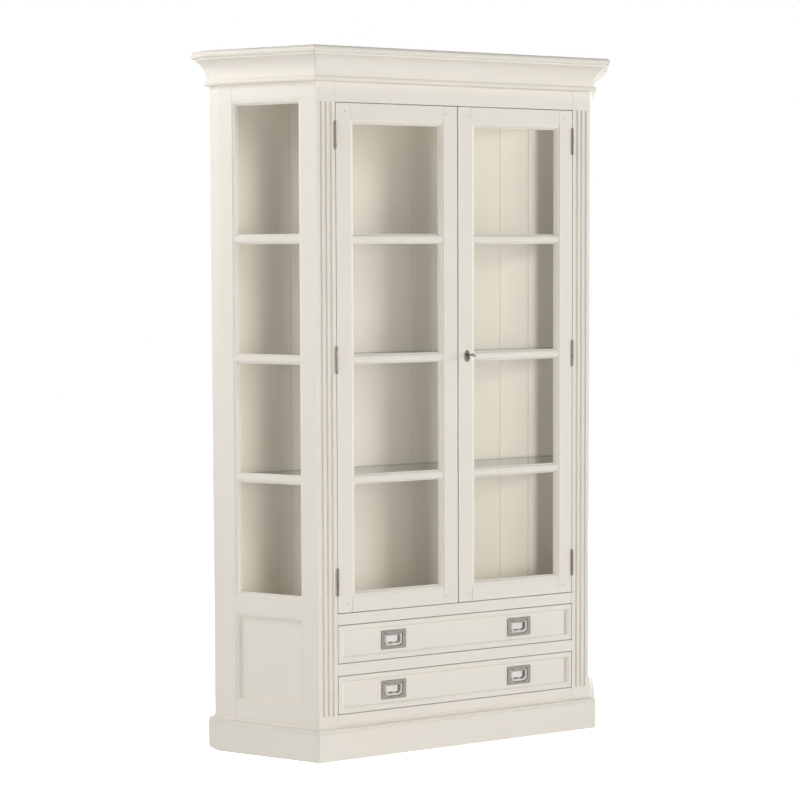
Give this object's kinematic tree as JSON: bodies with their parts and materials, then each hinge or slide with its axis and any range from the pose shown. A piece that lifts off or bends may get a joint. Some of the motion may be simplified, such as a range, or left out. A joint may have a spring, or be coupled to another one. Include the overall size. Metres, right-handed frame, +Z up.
{
  "type": "display cabinet",
  "caption": "Tall painted display cabinet with canted glazed sides, paired hinged glass doors, glass shelves and drawers with flush bail pulls.",
  "frame": {"origin": "on the floor, under the middle of the cabinet's overall width and depth", "axes": "+Z up, the doors and drawers face -Y, +X to the right of someone facing them"},
  "size_m": [1.4394, 0.4088, 2.1],
  "materials": {
    "painted_wood": "satin off-white paint on wood",
    "painted_boards": "satin off-white paint on matchboard",
    "bare_wood": "waxed softwood",
    "glazing": "clear float glass",
    "shelf_glass": "clear float glass with green edges",
    "pull_metal": "satin nickel",
    "lock_metal": "antiqued nickel",
    "hinge_metal": "bronzed",
    "steel": "zinc-plated"
  },
  "bodies": {
    "carcass": {"back_boards": "painted_boards", "base_panel": "painted_wood", "cornice_cover": "painted_wood", "cornice_mouldings": "painted_wood", "display_floor": "painted_wood", "door_stops": "painted_wood", "drawer_partitions": "bare_wood", "drawer_runners": "bare_wood", "front_rails": "painted_wood", "glass_shelves": "shelf_glass", "hinge_frame_halves": "hinge_metal", "hinge_frame_screws": "steel", "pilaster_left": "painted_wood", "pilaster_right": "painted_wood", "plinth_boards": "painted_wood", "plinth_cap": "painted_wood", "shelf_pins": "steel", "side_beads": "painted_wood", "side_glass": "glazing", "side_muntins": "painted_wood", "side_panels": "painted_wood", "side_rails": "painted_wood", "side_returns": "painted_wood", "side_stiles": "painted_wood", "top_panel": "painted_wood"},
    "door_left": {"door_left_beads": "painted_wood", "door_left_bolt_plates": "steel", "door_left_glass": "glazing", "door_left_hinge_leaves": "hinge_metal", "door_left_hinge_screws": "steel", "door_left_muntins": "painted_wood", "door_left_pegs": "painted_wood", "door_left_rails": "painted_wood", "door_left_stiles": "painted_wood"},
    "door_right": {"door_right_beads": "painted_wood", "door_right_glass": "glazing", "door_right_hinge_leaves": "hinge_metal", "door_right_hinge_screws": "steel", "door_right_muntins": "painted_wood", "door_right_pegs": "painted_wood", "door_right_rails": "painted_wood", "door_right_stiles": "painted_wood", "lock_case": "steel", "escutcheon": "lock_metal"},
    "shoot_bolt_upper": {"door_left_bolt_upper": "steel"},
    "shoot_bolt_lower": {"door_left_bolt_lower": "steel"},
    "lock_bolt": {"lock_bolt": "steel"},
    "key": {"key": "lock_metal"},
    "drawer_upper": {"drawer_upper_front": "painted_wood", "drawer_upper_box": "bare_wood", "drawer_upper_pull_plates": "pull_metal", "drawer_upper_pull_screws": "lock_metal"},
    "bail_upper_left": {"drawer_upper_bail_left": "pull_metal"},
    "bail_upper_right": {"drawer_upper_bail_right": "pull_metal"},
    "drawer_lower": {"drawer_lower_front": "painted_wood", "drawer_lower_box": "bare_wood", "drawer_lower_pull_plates": "pull_metal", "drawer_lower_pull_screws": "lock_metal"},
    "bail_lower_left": {"drawer_lower_bail_left": "pull_metal"},
    "bail_lower_right": {"drawer_lower_bail_right": "pull_metal"}
  },
  "joints": [
    {"name": "door_left_hinge", "type": "hinge", "parent": "carcass", "child": "door_left", "pos_m": [-0.4135, -0.1456, 1.1885], "axis": [0, 0, -1], "range_deg": [0, 165]},
    {"name": "door_right_hinge", "type": "hinge", "parent": "carcass", "child": "door_right", "pos_m": [0.4135, -0.1456, 1.1885], "axis": [0, 0, 1], "range_deg": [0, 165]},
    {"name": "drawer_upper_slide", "type": "slide", "parent": "carcass", "child": "drawer_upper", "axis": [0, -1, 0], "range_m": [0, 0.24]},
    {"name": "drawer_lower_slide", "type": "slide", "parent": "carcass", "child": "drawer_lower", "axis": [0, -1, 0], "range_m": [0, 0.24]},
    {"name": "shoot_bolt_upper_slide", "type": "slide", "parent": "door_left", "child": "shoot_bolt_upper", "axis": [0, 0, 1], "range_m": [0, 0.012]},
    {"name": "shoot_bolt_lower_slide", "type": "slide", "parent": "door_left", "child": "shoot_bolt_lower", "axis": [0, 0, -1], "range_m": [0, 0.012]},
    {"name": "key_turn", "type": "hinge", "parent": "door_right", "child": "key", "pos_m": [0.0325, -0.1434, 1.1935], "axis": [0, -1, 0], "range_deg": [-49, 131]},
    {"name": "lock_bolt_slide", "type": "slide", "parent": "door_right", "child": "lock_bolt", "axis": [-1, 0, 0], "range_m": [-0.0027, 0.0072]},
    {"name": "bail_upper_left_hinge", "type": "hinge", "parent": "drawer_upper", "child": "bail_upper_left", "pos_m": [-0.222, -0.1344, 0.35835], "axis": [-1, 0, 0], "range_deg": [0, 90]},
    {"name": "bail_upper_right_hinge", "type": "hinge", "parent": "drawer_upper", "child": "bail_upper_right", "pos_m": [0.222, -0.1344, 0.35835], "axis": [-1, 0, 0], "range_deg": [0, 90]},
    {"name": "bail_lower_left_hinge", "type": "hinge", "parent": "drawer_lower", "child": "bail_lower_left", "pos_m": [-0.222, -0.1344, 0.20625], "axis": [-1, 0, 0], "range_deg": [0, 90]},
    {"name": "bail_lower_right_hinge", "type": "hinge", "parent": "drawer_lower", "child": "bail_lower_right", "pos_m": [0.222, -0.1344, 0.20625], "axis": [-1, 0, 0], "range_deg": [0, 90]}
  ],
  "couplings": [
    {"joint": "key_turn", "follows": "lock_bolt_slide", "rad_per_m": 316.5}
  ]
}
